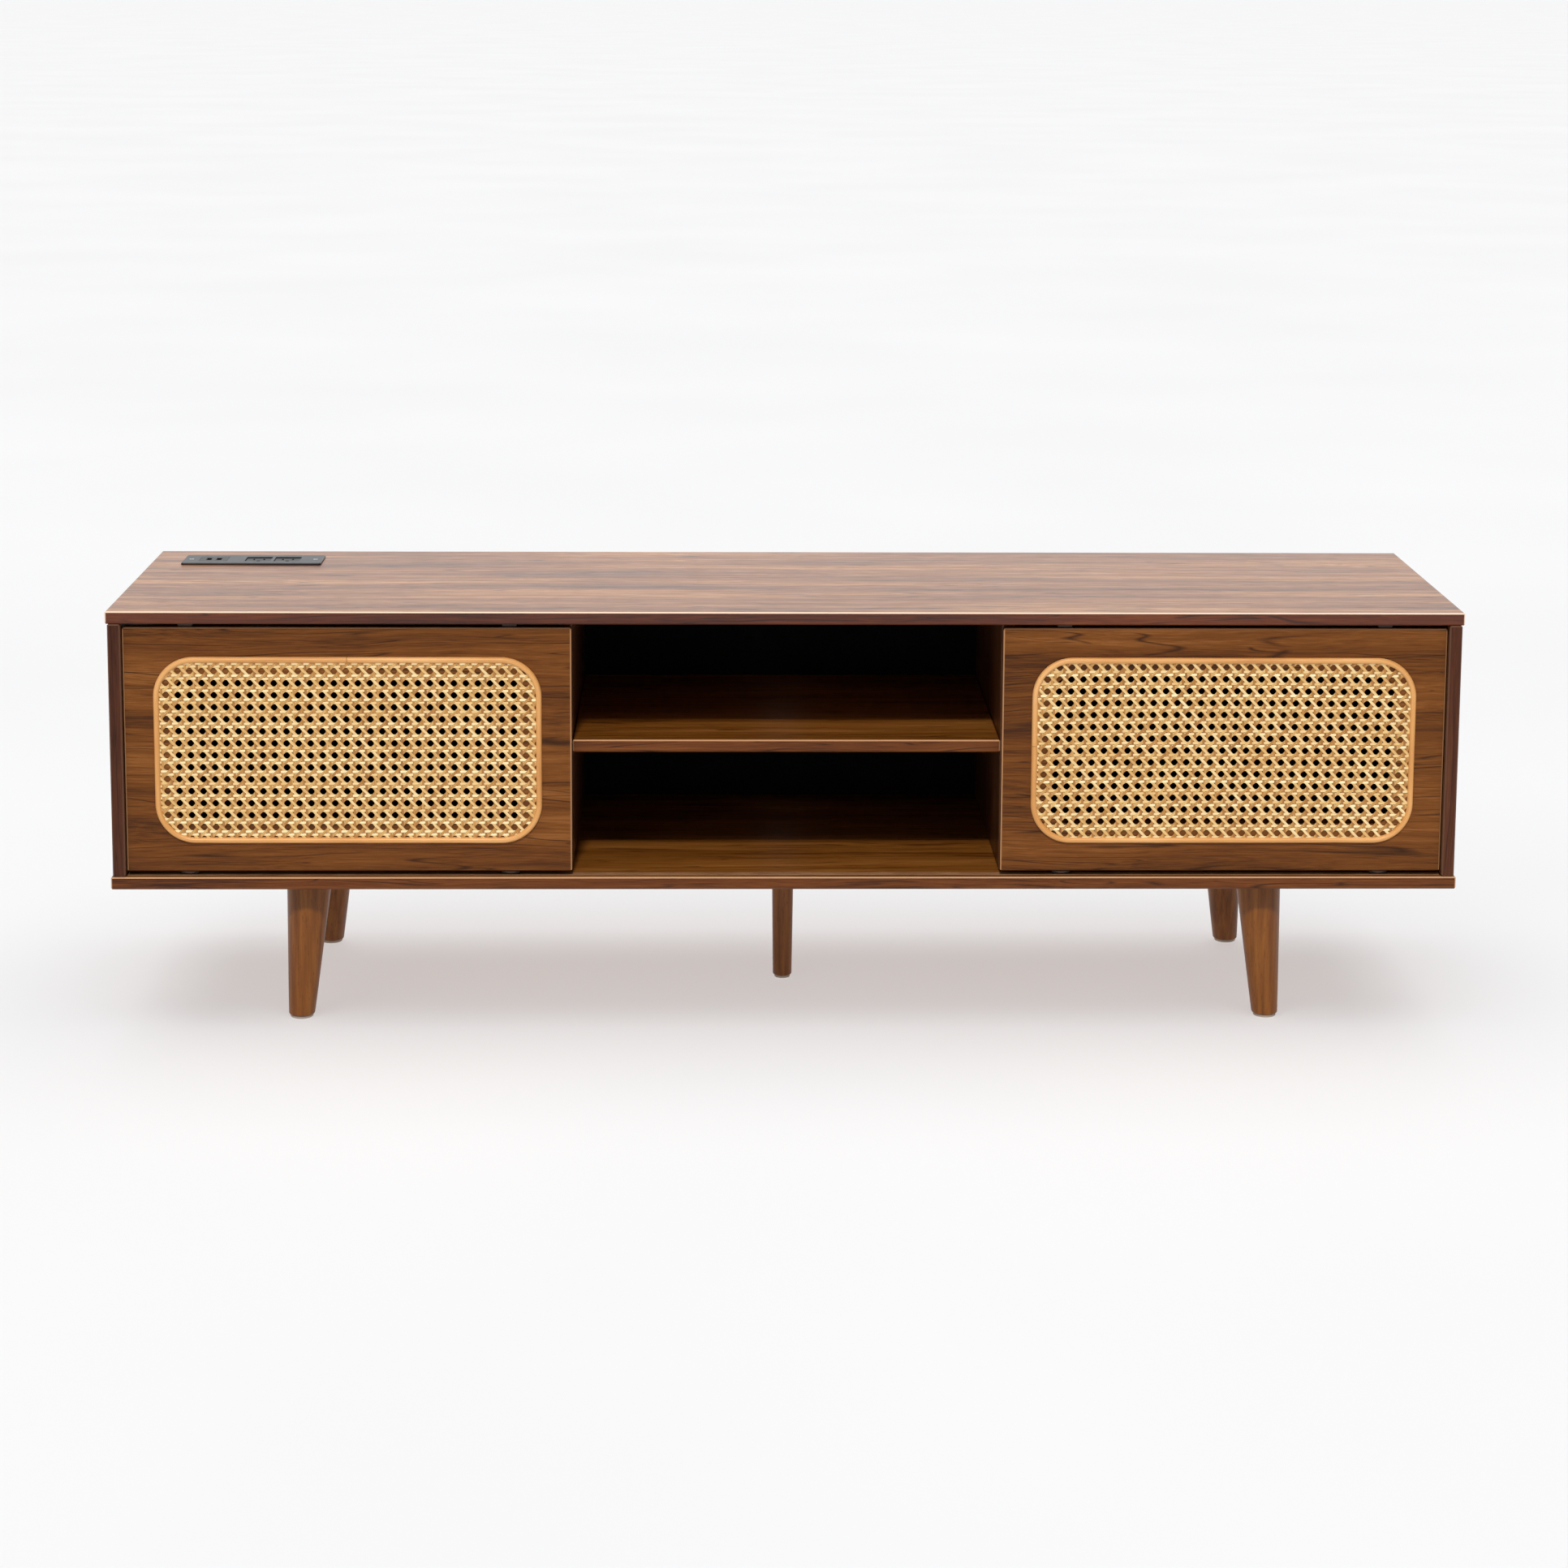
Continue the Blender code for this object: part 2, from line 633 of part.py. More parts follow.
def outlet(name, x):
    """An outlet with two upright blade slots and a round earth hole."""
    made, window, top = insert(name, x, OUTLET_SIZE, OUTLET_SINK)
    half_slot = Vector((BLADE_SLOT[0] / 2, BLADE_SLOT[1] / 2, 0))
    for number, sign in enumerate((-1, 1), 1):
        middle = Vector((x + sign * BLADE_SPREAD / 2, STRIP_Y + EARTH_OFFSET / 3, 0))
        low = middle - half_slot + Vector((0, 0, top - CONTACT_DEPTH))
        high = middle + half_slot + Vector((0, 0, top + CUT))
        cut(made, block(f"{name}_blade_{number}", low, high))
    depth = CONTACT_DEPTH + CUT
    center = (x, STRIP_Y + EARTH_OFFSET / 3 - EARTH_OFFSET, top + CUT - depth / 2)
    cut(made, cylinder(name + "_earth", center, EARTH_HOLE_RADIUS, depth, sides=20))
    return window


def usb_module(x):
    made, window, top = insert("usb_module", x, USB_SIZE, 0.0)
    half = Vector((USB_PORT[0] / 2, USB_PORT[1] / 2, 0))
    for number, sign in enumerate((-1, 1), 1):
        middle = Vector((x + sign * USB_PORT_SPREAD / 2, STRIP_Y, 0))
        low = middle - half + Vector((0, 0, top - USB_PORT_DEPTH))
        high = middle + half + Vector((0, 0, top + CUT))
        cut(made, block(f"usb_port_{number}", low, high))
    return window


def bezel_screw(name, x):
    """A cross-head screw. Returns its clearance in the bezel and its bore in the housing."""
    top = BEZEL_HIGH
    profile = [
        (0.0, top),
        (SCREW_HEAD_RADIUS, top),
        (SCREW_HEAD_RADIUS, top - SCREW_HEAD_HEIGHT),
        (SCREW_SHANK_RADIUS, top - SCREW_HEAD_HEIGHT),
        (SCREW_SHANK_RADIUS, top - SCREW_LENGTH),
        (0.0, top - SCREW_LENGTH),
    ]
    made = turned(name, profile, (x, STRIP_Y, 0.0), STEEL, steps=24)
    length, width, depth = SCREW_SLOT
    for number, (size_x, size_y) in enumerate(((length, width), (width, length)), 1):
        low = (x - size_x / 2, STRIP_Y - size_y / 2, top - depth)
        high = (x + size_x / 2, STRIP_Y + size_y / 2, top + CUT)
        cut(made, block(f"{name}_recess_{number}", low, high))
    head_low = top - SCREW_HEAD_HEIGHT - GAP
    center = (x, STRIP_Y, head_low + CUT)
    head = cylinder(name + "_seat", center, SCREW_HEAD_RADIUS + GAP, 2 * CUT, sides=24)
    length = SCREW_LENGTH + 2 * CUT
    center = (x, STRIP_Y, top + CUT - length / 2)
    bore = cylinder(name + "_bore", center, SCREW_SHANK_RADIUS + GAP, length, sides=24)
    return head, bore


def strip_housing(screw_bores):
    """The box that hangs in the cut-out and carries the sockets. Returns the cut-out."""
    half = Vector((STRIP_LENGTH / 2 - STRIP_LAP, STRIP_WIDTH / 2 - STRIP_LAP, 0))
    middle = Vector((STRIP_X, STRIP_Y, 0))
    bottom = Vector((0, 0, STRIP_TOP - STRIP_BODY_DEPTH))
    top = Vector((0, 0, STRIP_TOP))
    above = Vector((0, 0, CUT))
    around = Vector((GAP, GAP, 0))
    housing = block(
        "power_strip_housing",
        middle - half + around + bottom,
        middle + half - around + top,
        GREY_PLASTIC,
        radius=STRIP_CORNER,
    )
    hollow = Vector((STRIP_BOSS, STRIP_WALL, 0)) + around
    inside = block(
        "power_strip_inside",
        middle - half + hollow + bottom + Vector((0, 0, STRIP_WALL)),
        middle + half - hollow + top + above,
    )
    cut(housing, inside, *screw_bores)
    rear_wall = middle.y + half.y - GAP
    gland_z = STRIP_TOP - GLAND_DROP
    center = (middle.x, rear_wall, gland_z)
    hole = cylinder(
        "gland_hole", center, GLAND_RADIUS + GAP, 2 * STRIP_WALL + 2 * CUT, "Y", sides=24
    )
    cut(housing, hole)
    profile = [
        (GLAND_BORE_RADIUS, GLAND_LENGTH),
        (GLAND_RADIUS * 0.9, GLAND_LENGTH),
        (GLAND_RADIUS, GAP + GLAND_FLANGE),
        (GLAND_FLANGE_RADIUS, GAP + GLAND_FLANGE),
        (GLAND_FLANGE_RADIUS, GAP),
        (GLAND_RADIUS, GAP),
        (GLAND_RADIUS, -STRIP_WALL),
        (GLAND_BORE_RADIUS, -STRIP_WALL),
    ]
    turned("power_strip_gland", profile, center, DARK_PLASTIC, along="Y", closed=True, steps=20)
    return block("power_strip_cutout", middle - half + bottom, middle + half + top + above)


def power_strip(top_panel):
    half_length = STRIP_LENGTH / 2
    half_width = STRIP_WIDTH / 2
    bezel = block(
        "power_strip_bezel",
        (STRIP_X - half_length, STRIP_Y - half_width, BEZEL_LOW),
        (STRIP_X + half_length, STRIP_Y + half_width, BEZEL_HIGH),
        GREY_PLASTIC,
        radius=STRIP_CORNER,
    )
    ease_edges(bezel, TRIM_EDGE)
    for number, place in enumerate(OUTLET_PLACES, 1):
        cut(bezel, outlet(f"outlet_{number}", STRIP_LEFT + place))
    cut(bezel, usb_module(STRIP_LEFT + USB_PLACE))
    bores = []
    screw_places = (STRIP_LEFT + SCREW_INSET, STRIP_LEFT + STRIP_LENGTH - SCREW_INSET)
    for number, x in enumerate(screw_places, 1):
        seat, bore = bezel_screw(f"bezel_screw_{number}", x)
        cut(bezel, seat, bore)
        bores.append(bore)
    around = Vector((GAP, GAP, 0))
    recess = block(
        "power_strip_recess",
        Vector((STRIP_X - half_length, STRIP_Y - half_width, STRIP_TOP)) - around,
        Vector((STRIP_X + half_length, STRIP_Y + half_width, HEIGHT + CUT)) + around,
        radius=STRIP_CORNER,
    )
    cut(top_panel, strip_housing(bores), recess)


power_strip(carcass())
legs()
doors()
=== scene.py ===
"""The finish of the media cabinet: laminate, cane, reed, turned legs, plastics, and the studio."""

import json
import math
import random

import bmesh
import bpy
from mathutils import Matrix, Vector


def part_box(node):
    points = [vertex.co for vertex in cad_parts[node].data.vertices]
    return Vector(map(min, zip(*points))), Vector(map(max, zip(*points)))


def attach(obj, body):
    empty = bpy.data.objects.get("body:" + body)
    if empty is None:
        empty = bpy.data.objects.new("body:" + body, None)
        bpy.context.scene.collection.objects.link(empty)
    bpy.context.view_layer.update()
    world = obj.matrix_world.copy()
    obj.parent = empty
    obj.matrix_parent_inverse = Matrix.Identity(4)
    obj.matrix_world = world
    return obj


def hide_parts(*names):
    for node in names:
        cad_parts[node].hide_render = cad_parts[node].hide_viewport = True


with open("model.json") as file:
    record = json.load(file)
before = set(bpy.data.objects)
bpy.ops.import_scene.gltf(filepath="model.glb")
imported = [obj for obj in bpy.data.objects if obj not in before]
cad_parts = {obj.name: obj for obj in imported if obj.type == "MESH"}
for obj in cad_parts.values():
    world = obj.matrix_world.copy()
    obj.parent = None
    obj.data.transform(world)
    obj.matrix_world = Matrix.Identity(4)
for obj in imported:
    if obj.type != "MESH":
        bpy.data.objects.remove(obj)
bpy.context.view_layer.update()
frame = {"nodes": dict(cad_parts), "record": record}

NODES = frame["nodes"]
MM = 0.001

# ---------------------------------------------------------------- colours and nodes


def srgb(code):
    """A hex colour as linear red, green, blue and alpha."""
    channels = [int(code[i : i + 2], 16) / 255 for i in (1, 3, 5)]
    linear = [c / 12.92 if c <= 0.04045 else ((c + 0.055) / 1.055) ** 2.4 for c in channels]
    return (*linear, 1.0)


def per_metre(millimetres):
    """The texture scale that makes one period of a pattern that many millimetres long."""
    return 1000.0 / millimetres


def node(tree, kind, inputs=None, stops=None, **settings):
    """Adds a node, sets its properties and ramp stops, and fills or links its inputs."""
    made = tree.nodes.new("ShaderNode" + kind)
    for name, value in settings.items():
        setattr(made, name, value)
    for index, (place, code) in enumerate(stops or ()):
        steps = made.color_ramp.elements
        step = steps[index] if index < 2 else steps.new(place)
        step.position = place
        step.color = srgb(code)
    for name, value in (inputs or {}).items():
        if isinstance(value, bpy.types.NodeSocket):
            tree.links.new(value, made.inputs[name])
        else:
            made.inputs[name].default_value = value
    return made


def new_finish(name, **shader_values):
    """A material with one Principled shader. Values that don't vary go on its own sockets."""
    made = bpy.data.materials.new(name)
    made.use_nodes = True
    shader = made.node_tree.nodes["Principled BSDF"]
    for socket, value in shader_values.items():
        shader.inputs[socket.replace("_", " ")].default_value = value
    return made, made.node_tree, shader


# ---------------------------------------------------------------- laminate

STRAIGHT = 0.9  # a normal's share along an axis, above which a face counts as square to it


def walnut_laminate(
    name, grain_axis, face_axis, specular, tones, line_tone, band_tint, arris_core_and_highlight
):
    """Melamine paper with a printed walnut grain, pressed on board: a satin film over flat colour,
    with soft bands, long dark pores and cathedral loops along the board. The upper front arrises
    get a paler tone, partly the trimmed edge band's core showing and partly a painted highlight.
    Grain sizes are in millimetres, first across and then along the board."""
    made, tree, shader = new_finish(name, IOR=1.5, Specular_IOR_Level=specular)
    place = node(tree, "TexCoord").outputs["Object"]

    def grain_scale(across_mm, along_mm):
        across, along = per_metre(across_mm), per_metre(along_mm)
        return (along, across, across) if grain_axis == "X" else (across, across, along)

    def grain_noise(spot, across_mm, along_mm, detail, roughness=0.5):
        mapped = node(
            tree, "Mapping", {"Vector": spot, "Scale": grain_scale(across_mm, along_mm)}
        )
        return node(
            tree,
            "TexNoise",
            {"Vector": mapped.outputs[0], "Scale": 1.0, "Detail": detail, "Roughness": roughness},
        )

    # The grain wanders a few millimetres off a straight line, now slowly, now quickly.
    grain = place
    for across_mm, along_mm, push_mm in ((90, 330, 22), (26, 95, 3.4)):
        wander = grain_noise(place, across_mm, along_mm, 1.0).outputs["Color"]
        centred = node(tree, "VectorMath", {0: wander, 1: (0.5, 0.5, 0.5)}, operation="SUBTRACT")
        pushed = node(tree, "VectorMath", {0: centred.outputs[0]}, operation="SCALE")
        pushed.inputs["Scale"].default_value = push_mm * MM
        grain = node(
            tree, "VectorMath", {0: grain, 1: pushed.outputs[0]}, operation="ADD"
        ).outputs[0]

    # Growth bands, streaks within them, and single fibres share the tone between them.
    bands = grain_noise(grain, 34, 700, 1.0).outputs["Fac"]
    streaks = grain_noise(grain, 6.5, 300, 3.0, 0.6).outputs["Fac"]
    fibre = grain_noise(grain, 1.2, 40, 3.0, 0.65).outputs["Fac"]
    mixed = node(tree, "Math", {0: bands, 1: 0.36}, operation="MULTIPLY").outputs[0]
    for share, part in ((0.32, streaks), (0.32, fibre)):
        mixed = node(
            tree, "Math", {0: part, 1: share, 2: mixed}, operation="MULTIPLY_ADD"
        ).outputs[0]
    spread = node(tree, "MapRange", {"Value": mixed, "From Min": 0.37, "From Max": 0.63})
    body = node(
        tree,
        "ValToRGB",
        {"Fac": spread.outputs[0]},
        stops=((0.0, tones[0]), (1.0, tones[3]), (0.34, tones[1]), (0.66, tones[2])),
    ).outputs["Color"]

    # Dark lines follow the contours of a slow noise, which gives long flat-sawn loops. Each
    # one swells and fades along its run.
    for across_mm, along_mm, turns, width, low, high, depth in (
        (38, 900, 21.0, 0.17, 0.40, 0.56, 0.85),
        (11, 340, 8.0, 0.11, 0.42, 0.54, 0.85),
    ):
        contour = grain_noise(grain, across_mm, along_mm, 1.0).outputs["Fac"]
        wave = node(tree, "Math", {0: contour, 1: turns}, operation="MULTIPLY")
        wave = node(tree, "Math", {0: wave.outputs[0], 1: 1.0}, operation="PINGPONG")
        line = node(
            tree,
            "MapRange",
            {"Value": wave.outputs[0], "From Max": width, "To Min": 1.0, "To Max": 0.0},
        )
        runs = grain_noise(grain, 9, 170, 2.0).outputs["Fac"]
        shown = node(
            tree, "MapRange", {"Value": runs, "From Min": low, "From Max": high, "To Max": depth}
        )
        strength = node(
            tree, "Math", {0: line.outputs[0], 1: shown.outputs[0]}, operation="MULTIPLY"
        )
        body = node(
            tree,
            "Mix",
            {0: strength.outputs[0], 6: body, 7: srgb(line_tone)},
            data_type="RGBA",
        ).outputs[2]

    # The edge band is printed apart from the face, a shade darker and redder.
    normal = node(tree, "NewGeometry").outputs["True Normal"]
    size = node(tree, "VectorMath", {0: normal}, operation="ABSOLUTE")
    split = node(tree, "SeparateXYZ", {0: size.outputs[0]}).outputs
    off_face = split["XYZ".index(face_axis)]
    on_band = node(tree, "Math", {0: off_face, 1: STRAIGHT}, operation="LESS_THAN")
    body = node(
        tree,
        "Mix",
        {0: on_band.outputs[0], 6: body, 7: srgb(band_tint)},
        data_type="RGBA",
        blend_type="MULTIPLY",
    ).outputs[2]

    # A front arris is where the true normal leans forward and away from every axis. Its paler tone
    # is partly the trimmed edge band's core and partly a painted highlight, so those that face the
    # floor, where the light doesn't fall, stay dark.
    widest = node(tree, "Math", {0: split[0], 1: split[2]}, operation="MAXIMUM")
    upward = node(tree, "SeparateXYZ", {0: normal}).outputs[2]
    lit_arris_mask = node(tree, "Math", {0: widest.outputs[0], 1: STRAIGHT}, operation="LESS_THAN")
    for value, limit, test in (
        (split[1], 0.3, "GREATER_THAN"),
        (split[1], STRAIGHT, "LESS_THAN"),
        (upward, -0.2, "GREATER_THAN"),
    ):
        passes = node(tree, "Math", {0: value, 1: limit}, operation=test)
        both = {0: lit_arris_mask.outputs[0], 1: passes.outputs[0]}
        lit_arris_mask = node(tree, "Math", both, operation="MULTIPLY")
    coloured = node(
        tree, "Mix", {0: lit_arris_mask.outputs[0], 6: body, 7: srgb(arris_core_and_highlight)}, data_type="RGBA"
    )
    tree.links.new(coloured.outputs[2], shader.inputs["Base Color"])

    # The press plate leaves a faint pore texture in the film.
    sheen = node(
        tree,
        "MapRange",
        {"Value": fibre, "From Min": 0.3, "From Max": 0.7, "To Min": 0.42, "To Max": 0.32},
    )
    tree.links.new(sheen.outputs[0], shader.inputs["Roughness"])
    bump = node(tree, "Bump", {"Height": fibre, "Strength": 0.12, "Distance": 0.15 * MM})
    tree.links.new(bump.outputs[0], shader.inputs["Normal"])
    return made


DOOR_WALNUT = walnut_laminate(
    "walnut_laminate_doors",
    grain_axis="X",
    face_axis="Y",
    specular=0.18,
    tones=("#432208", "#62360c", "#744315", "#895526"),
    line_tone="#2a1301",
    band_tint="#d8ccc4",
    arris_core_and_highlight="#b98a62",
)
BOARD_WALNUT = walnut_laminate(
    "walnut_laminate_boards",
    grain_axis="X",
    face_axis="Z",
    specular=0.25,
    tones=("#4c2808", "#744515", "#875522", "#9e6a37"),
    line_tone="#351903",
    band_tint="#d2b898",
    arris_core_and_highlight="#c0926c",
)
# The top's own copy of the same laminate: its tones are painted lighter for the light that falls
# on the top from above, its arris tone is mostly a painted highlight, and its darker band tint
# brings the front edge back down.
TOP_WALNUT_PAINTED_LIT = walnut_laminate(
    "walnut_laminate_top_painted_lighter",
    grain_axis="X",
    face_axis="Z",
    specular=0.5,
    tones=("#47210a", "#824a1b", "#a06630", "#c58d5c"),
    line_tone="#2a1103",
    band_tint="#966a30",
    arris_core_and_highlight="#f0d4bc",
)
UPRIGHT_WALNUT = walnut_laminate(
    "walnut_laminate_uprights",
    grain_axis="Z",
    face_axis="X",
    specular=0.22,
    tones=("#361c0a", "#52301a", "#633f25", "#755034"),
    line_tone="#261205",
    band_tint="#d5b5a4",
    arris_core_and_highlight="#634332",
)


# ---------------------------------------------------------------- solid wood and hardboard


def stained_rubberwood(name, tones):
    """Turned rubberwood under walnut stain and satin lacquer: even, with short dark flecks."""
    gloss = {"Specular_IOR_Level": 0.3, "Coat_Weight": 0.06, "Coat_Roughness": 0.3}
    made, tree, shader = new_finish(name, Roughness=0.40, **gloss)
    place = node(tree, "TexCoord").outputs["Object"]

    def along_leg(width_mm, length_mm, detail):
        across = per_metre(width_mm)
        mapped = node(
            tree, "Mapping", {"Vector": place, "Scale": (across, across, per_metre(length_mm))}
        )
        noise = node(
            tree, "TexNoise", {"Vector": mapped.outputs[0], "Scale": 1.0, "Detail": detail}
        )
        return noise.outputs["Fac"]

    streaks = along_leg(6, 120, 4.0)
    flecks = along_leg(1.1, 12, 2.0)
    body = node(
        tree,
        "ValToRGB",
        {"Fac": streaks},
        stops=((0.25, tones[0]), (0.75, tones[2]), (0.5, tones[1])),
    )
    fleck = node(
        tree,
        "MapRange",
        {"Value": flecks, "From Min": 0.60, "From Max": 0.74, "To Min": 0.0, "To Max": 0.55},
    )
    mixed = node(
        tree,
        "Mix",
        {0: fleck.outputs[0], 6: body.outputs["Color"], 7: srgb("#2e1706")},
        data_type="RGBA",
    )
    tree.links.new(mixed.outputs[2], shader.inputs["Base Color"])
    bump = node(tree, "Bump", {"Height": flecks, "Strength": 0.1, "Distance": 0.1 * MM})
    tree.links.new(bump.outputs[0], shader.inputs["Normal"])
    return made


LEG_WOOD = stained_rubberwood("stained_rubberwood", ("#603307", "#7c4712", "#8d571c"))


def black_hardboard(name):
    """Painted hardboard: matt, with the pressed fibre just showing through the paint."""
    made, tree, shader = new_finish(name, Roughness=0.85, IOR=1.45, Specular_IOR_Level=0.25)
    place = node(tree, "TexCoord").outputs["Object"]
    fibre = node(
        tree, "TexNoise", {"Vector": place, "Scale": per_metre(2.2), "Detail": 5.0}
    ).outputs["Fac"]
    cloud = node(
        tree, "TexNoise", {"Vector": place, "Scale": per_metre(60), "Detail": 2.0}
    ).outputs["Fac"]
    mixed = node(tree, "Math", {0: fibre, 1: cloud}, operation="MULTIPLY")
    colour = node(
        tree,
        "ValToRGB",
        {"Fac": mixed.outputs[0]},
        stops=((0.12, "#050506"), (0.42, "#17161a")),
    )
    tree.links.new(colour.outputs["Color"], shader.inputs["Base Color"])
    bump = node(tree, "Bump", {"Height": fibre, "Strength": 0.35, "Distance": 0.2 * MM})
    tree.links.new(bump.outputs[0], shader.inputs["Normal"])
    return made


HARDBOARD = black_hardboard("black_painted_hardboard")


# ---------------------------------------------------------------- cane and reed


def split_cane(name):
    """Natural split cane, skin side out: glossy, cream to honey from strand to strand, with fine
    lengthwise fibre. Each strand's tone also carries painted light by its direction: a painted
    highlight on the strands across and a painted shade on the upright ones."""
    made, tree, shader = new_finish(name, Roughness=0.27, IOR=1.5)
    strand = node(tree, "Attribute", attribute_name="strand_tone_and_light").outputs["Fac"]
    along = node(tree, "UVMap", uv_map="lengthwise").outputs["UV"]
    mapped = node(
        tree, "Mapping", {"Vector": along, "Scale": (per_metre(18), per_metre(0.5), 1.0)}
    )
    fibre = node(
        tree, "TexNoise", {"Vector": mapped.outputs[0], "Scale": 1.0, "Detail": 3.0}
    ).outputs["Fac"]
    mapped = node(
        tree, "Mapping", {"Vector": along, "Scale": (per_metre(45), per_metre(3), 1.0)}
    )
    patch = node(
        tree, "TexNoise", {"Vector": mapped.outputs[0], "Scale": 1.0, "Detail": 2.0}
    ).outputs["Fac"]
    # The strand tone holds a random tone per strand and painted light by direction: a painted
    # highlight on the strands across, a painted shade on the upright ones.
    tone = node(tree, "Math", {0: strand, 1: 0.60}, operation="MULTIPLY")
    tone = node(tree, "Math", {0: patch, 1: 0.30, 2: tone.outputs[0]}, operation="MULTIPLY_ADD")
    tone = node(tree, "Math", {0: fibre, 1: 0.22, 2: tone.outputs[0]}, operation="MULTIPLY_ADD")
    colour = node(
        tree,
        "ValToRGB",
        {"Fac": tone.outputs[0]},
        stops=((0.28, "#855122"), (0.84, "#fff0c0"), (0.48, "#b9823f"), (0.66, "#e6bd78")),
    )
    tree.links.new(colour.outputs["Color"], shader.inputs["Base Color"])
    bump = node(tree, "Bump", {"Height": fibre, "Strength": 0.25, "Distance": 0.08 * MM})
    tree.links.new(bump.outputs[0], shader.inputs["Normal"])
    return made


def rattan_reed(name):
    """Peeled rattan core, sanded and waxed: warm orange tan with close lengthwise fibre."""
    made, tree, shader = new_finish(name, Roughness=0.42, IOR=1.48)
    along = node(tree, "UVMap", uv_map="lengthwise").outputs["UV"]
    mapped = node(
        tree, "Mapping", {"Vector": along, "Scale": (per_metre(60), per_metre(0.6), 1.0)}
    )
    fibre = node(
        tree, "TexNoise", {"Vector": mapped.outputs[0], "Scale": 1.0, "Detail": 4.0}
    ).outputs["Fac"]
    mapped = node(
        tree, "Mapping", {"Vector": along, "Scale": (per_metre(140), per_metre(20), 1.0)}
    )
    patch = node(
        tree, "TexNoise", {"Vector": mapped.outputs[0], "Scale": 1.0, "Detail": 2.0}
    ).outputs["Fac"]
    tone = node(tree, "Math", {0: patch, 1: 0.6}, operation="MULTIPLY")
    tone = node(tree, "Math", {0: fibre, 1: 0.4, 2: tone.outputs[0]}, operation="MULTIPLY_ADD")
    colour = node(
        tree,
        "ValToRGB",
        {"Fac": tone.outputs[0]},
        stops=((0.3, "#c2813f"), (0.7, "#efbb7c"), (0.5, "#dca05c")),
    )
    tree.links.new(colour.outputs["Color"], shader.inputs["Base Color"])
    bump = node(tree, "Bump", {"Height": fibre, "Strength": 0.2, "Distance": 0.1 * MM})
    tree.links.new(bump.outputs[0], shader.inputs["Normal"])
    return made


CANE = split_cane("split_cane")
REED = rattan_reed("rattan_reed")


# ---------------------------------------------------------------- plastics and steel


def moulded_plastic(name, low_tone, high_tone, roughness, grain_mm=0.7, bump_depth=0.05):
    """Injection-moulded plastic: even colour under a spark-eroded grain, drawn a little coarse."""
    made, tree, shader = new_finish(name, Roughness=roughness, IOR=1.5)
    place = node(tree, "TexCoord").outputs["Object"]
    grain = node(
        tree, "TexNoise", {"Vector": place, "Scale": per_metre(grain_mm), "Detail": 3.0}
    ).outputs["Fac"]
    cloud = node(
        tree, "TexNoise", {"Vector": place, "Scale": per_metre(25), "Detail": 1.0}
    ).outputs["Fac"]
    mixed = node(tree, "Math", {0: grain, 1: cloud}, operation="MULTIPLY")
    colour = node(
        tree,
        "ValToRGB",
        {"Fac": mixed.outputs[0]},
        stops=((0.12, low_tone), (0.4, high_tone)),
    )
    tree.links.new(colour.outputs["Color"], shader.inputs["Base Color"])
    sheen = node(
        tree,
        "MapRange",
        {"Value": grain, "To Min": roughness - 0.06, "To Max": roughness + 0.08},
    )
    tree.links.new(sheen.outputs[0], shader.inputs["Roughness"])
    bump = node(tree, "Bump", {"Height": grain, "Strength": 0.3, "Distance": bump_depth * MM})
    tree.links.new(bump.outputs[0], shader.inputs["Normal"])
    return made


def zinc_plated_steel(name):
    """Bright zinc on pressed steel: a soft mirror with faint cloudy spangle."""
    made, tree, shader = new_finish(name, Roughness=0.32, Metallic=1.0)
    place = node(tree, "TexCoord").outputs["Object"]
    spangle = node(
        tree, "TexNoise", {"Vector": place, "Scale": per_metre(4), "Detail": 3.0}
    ).outputs["Fac"]
    colour = node(
        tree, "ValToRGB", {"Fac": spangle}, stops=((0.35, "#a8abae"), (0.65, "#c9cbcd"))
    )
    tree.links.new(colour.outputs["Color"], shader.inputs["Base Color"])
    sheen = node(tree, "MapRange", {"Value": spangle, "To Min": 0.26, "To Max": 0.42})
    tree.links.new(sheen.outputs[0], shader.inputs["Roughness"])
    return made


BROWN_NYLON = moulded_plastic("brown_nylon", "#3a2820", "#4a352b", 0.48)
TRACK_PVC = moulded_plastic("tan_extruded_pvc", "#8a6244", "#a57c5b", 0.42)
DARK_NYLON = moulded_plastic("dark_nylon", "#0d0e10", "#16181b", 0.45)
GREY_ABS = moulded_plastic("slate_abs", "#24282f", "#31363f", 0.42)
PALE_PLASTIC = moulded_plastic("pale_polyethylene", "#9b8c7e", "#b3a598", 0.5)
STEEL = zinc_plated_steel("zinc_plated_steel")

# ---------------------------------------------------------------- finishes of the CAD pieces

FINISH_OF_SLOT = {
    "walnut_laminate": BOARD_WALNUT,
    "stained_rubberwood": LEG_WOOD,
    "black_hardboard": HARDBOARD,
    "cane_webbing": CANE,
    "rattan_reed": REED,
    "brown_nylon": BROWN_NYLON,
    "dark_nylon": DARK_NYLON,
    "grey_abs": GREY_ABS,
    "pale_polyethylene": PALE_PLASTIC,
    "zinc_plated_steel": STEEL,
}
UPRIGHTS = ("left_side_panel", "right_side_panel", "left_divider", "right_divider")
DOORS = ("left_door_panel", "right_door_panel")
TRACKS = ("lower_track", "upper_track")


def finish_cad_nodes():
    for part in frame["record"]["subparts"]:
        finish = FINISH_OF_SLOT[part["material_slot"]]
        if part["node"] in UPRIGHTS:
            finish = UPRIGHT_WALNUT
        if part["node"] in DOORS:
            finish = DOOR_WALNUT
        if part["node"] == "top_panel":
            finish = TOP_WALNUT_PAINTED_LIT
        if part["node"] in TRACKS:
            finish = TRACK_PVC
        mesh = NODES[part["node"]].data
        mesh.materials.clear()
        mesh.materials.append(finish)


finish_cad_nodes()


# ---------------------------------------------------------------- mesh helpers


